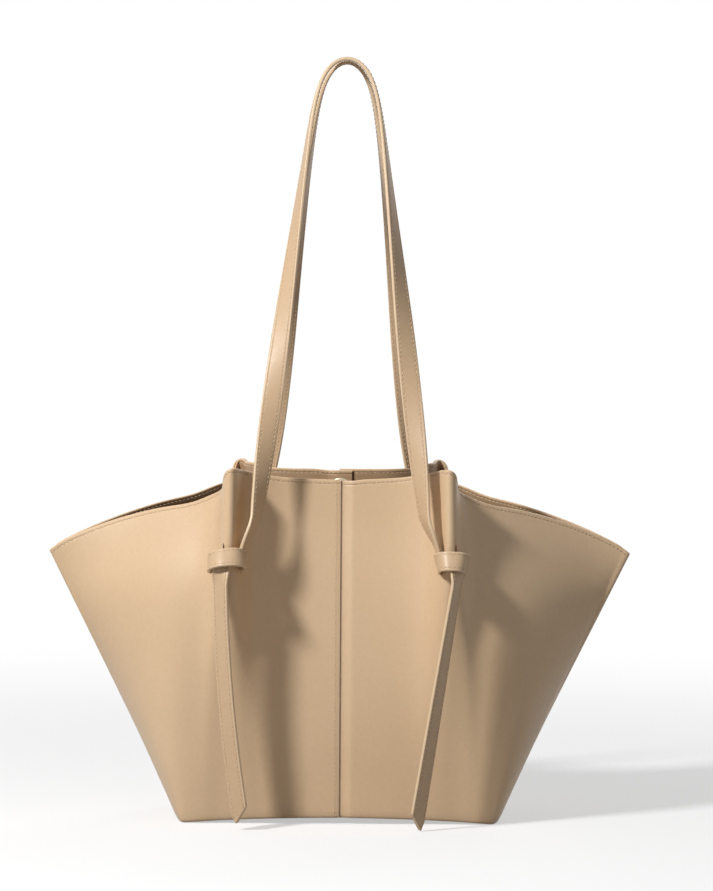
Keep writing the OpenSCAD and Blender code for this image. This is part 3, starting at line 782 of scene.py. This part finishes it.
def tail(name, sx, sy, bend, turns, tip):
    """x = 93.2 - bend[0] d - bend[1] d^2 at d below the knot, 3 mm nearer under the band. There the
    strip is flat and gathered to 0.62 of its width; then it turns to turns[0] and on to turns[1]
    at the foot, tip mm over the floor. The cut shortens each line by up to 13 mm."""
    length = tail_top - tip

    def points(along, a, b):
        d = along - 9
        x = -tail_x + bend[0] * d + bend[1] * d**2 + 3 * smooth((12 - along) / 12)
        centre = np.stack([x, -tail_y - 0 * d, tail_top - along], -1)
        turn = np.radians(lerp(turns[0], turns[1], along / length) * smooth((along + 3) / 24))
        a = a * (0.62 + 0.38 * smooth(along / 13))
        fall = unit(np.stack([bend[0] + 2 * bend[1] * d, 0 * d, -1 + 0 * d], -1))
        across = np.stack([np.cos(turn), -np.sin(turn), 0 * turn], -1)
        across = unit(across - (across * fall).sum(-1, keepdims=True) * fall)
        return (centre + a[..., None] * across + b[..., None] * np.cross(across, fall)) * [sx, sy, 1]

    def cut(a):
        f = a / (strap_w / 2)
        return np.where(f < point_at, (point_at - f) / (1 + point_at) * short_cut,
                        (f - point_at) / (1 - point_at) * long_cut)

    s = np.linspace(0, 1, 90)[:, None]
    a, b = section[None, :, 0], section[None, :, 1]
    obj = strip_piece(name, points(s * (length - cut(a)), a + 0 * s, b + 0 * s))
    side = np.linspace(0.05, 1, 200)
    over = np.linspace(row_a, -row_a, 40)[1:-1]
    a = np.concatenate([np.full(200, row_a), over, np.full(200, -row_a)])
    along = np.concatenate([side * (length - cut(row_a) - cut_row), length - cut(over) - cut_row,
                            side[::-1] * (length - cut(-row_a) - cut_row)])
    lines = [points(along, a, 0 * a + b) for b in (row_b, -row_b)]
    ups = [points(along, a, 0 * a + 2 * b) - line for line, b in zip(lines, (row_b, -row_b))]
    for piece in (obj, stitches(name + "_stitches", lines, ups)):
        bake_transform(piece)


tail("front_left_tail", 1, 1, (0.008, 0.0004), (50, 38), 6.0)
tail("front_right_tail", -1, 1, (0.158, 0.0), (66, 46), 1.0)
tail("back_left_tail", 1, -1, (0.15, 0.0), (55, 50), 6.0)
tail("back_right_tail", -1, -1, (0.05, 0.0002), (60, 45), 5.0)

# Studio, in metres: a pale floor that fades to white, a soft key light from the upper left front, weak
# ones beside and behind, and the camera at the photograph's viewing angle.


def pointed(place, target):
    """The matrix of a lamp or camera that stands at place and looks at target."""
    place = Vector(place)
    turn = (Vector(target) - place).to_track_quat("-Z", "Y")
    return Matrix.Translation(place) @ turn.to_matrix().to_4x4()


def light(name, place, size, power):
    """A round area lamp that looks at the middle of the bag."""
    lamp = bpy.data.lights.new(name, "AREA")
    lamp.shape, lamp.size, lamp.energy = "DISK", size, power
    obj = bpy.data.objects.new(name, lamp)
    bpy.context.scene.collection.objects.link(obj)
    obj.matrix_world = pointed(place, (0, 0, 0.25))


def seen_rays(shade):
    """1 for rays from the camera, also by way of gloss or glass; 0 for those that light the bag."""
    path = shade.node("LightPath", {}, {})
    rays = [Shade(shade.tree, path.socket.node.outputs[kind])
            for kind in ("Is Camera Ray", "Is Glossy Ray", "Is Transmission Ray")]
    return path.math("MAXIMUM", rays[0], path.math("MAXIMUM", rays[1], rays[2]))


def floor_paper():
    """Matt white that glows more from 0.35 to 1.4 m from the middle; grey for the rays that light the bag."""
    material, s = bare_material("floor_paper")
    far = s.node("VectorMath", {"operation": "LENGTH"}, {0: s.node("TexCoord", {}, {}, 3)}, 1).step(0.35, 1.4)
    plain = s.node("BsdfDiffuse", {}, {"Color": (0.9, 0.9, 0.9, 1)})
    glow = s.node("Emission", {}, {"Color": (1, 1, 1, 1), "Strength": 1.0})
    grey = s.node("BsdfDiffuse", {}, {"Color": (0.34, 0.32, 0.3, 1)})
    lit = s.node("MixShader", {}, {0: 0.5 + far * 0.5, 1: plain, 2: glow})
    s.node("OutputMaterial", {}, {0: s.node("MixShader", {}, {0: seen_rays(s), 1: grey, 2: lit})})
    return material


camera = bpy.data.objects.new("camera", bpy.data.cameras.new("camera"))
bpy.context.scene.collection.objects.link(camera)
camera.data.lens, camera.data.sensor_width = 238.1, 36
roll = Matrix.Rotation(math.radians(0.4), 4, "Z")
camera.matrix_world = pointed((0, -4.7, 0.606), (0.0128, 0, 0.2962)) @ roll
bpy.context.scene.camera = camera

light("key", (-1.35, -1.35, 1.73), 0.34, 61)
light("fill", (2.6, -2.4, 1.2), 2.0, 2.5)
light("back", (1.4, 2.9, 2.0), 1.6, 24)

floor_mesh = bpy.data.meshes.new("floor")
floor_mesh.from_pydata([(-15, -15, 0), (15, -15, 0), (15, 15, 0), (-15, 15, 0)], [], [(0, 1, 2, 3)])
floor_mesh.materials.append(floor_paper())
floor = bpy.data.objects.new("floor", floor_mesh)
bpy.context.scene.collection.objects.link(floor)

world = bpy.data.worlds.new("studio")
bpy.context.scene.world = world
world.use_nodes = True
world.node_tree.nodes.clear()
sky = Shade(world.node_tree)
backdrop = sky.node("Background", {}, {0: (1, 1, 1, 1), 1: 0.24 + 0.76 * seen_rays(sky)})
sky.node("OutputWorld", {}, {0: backdrop})
bpy.context.scene.view_settings.view_transform = "Standard"
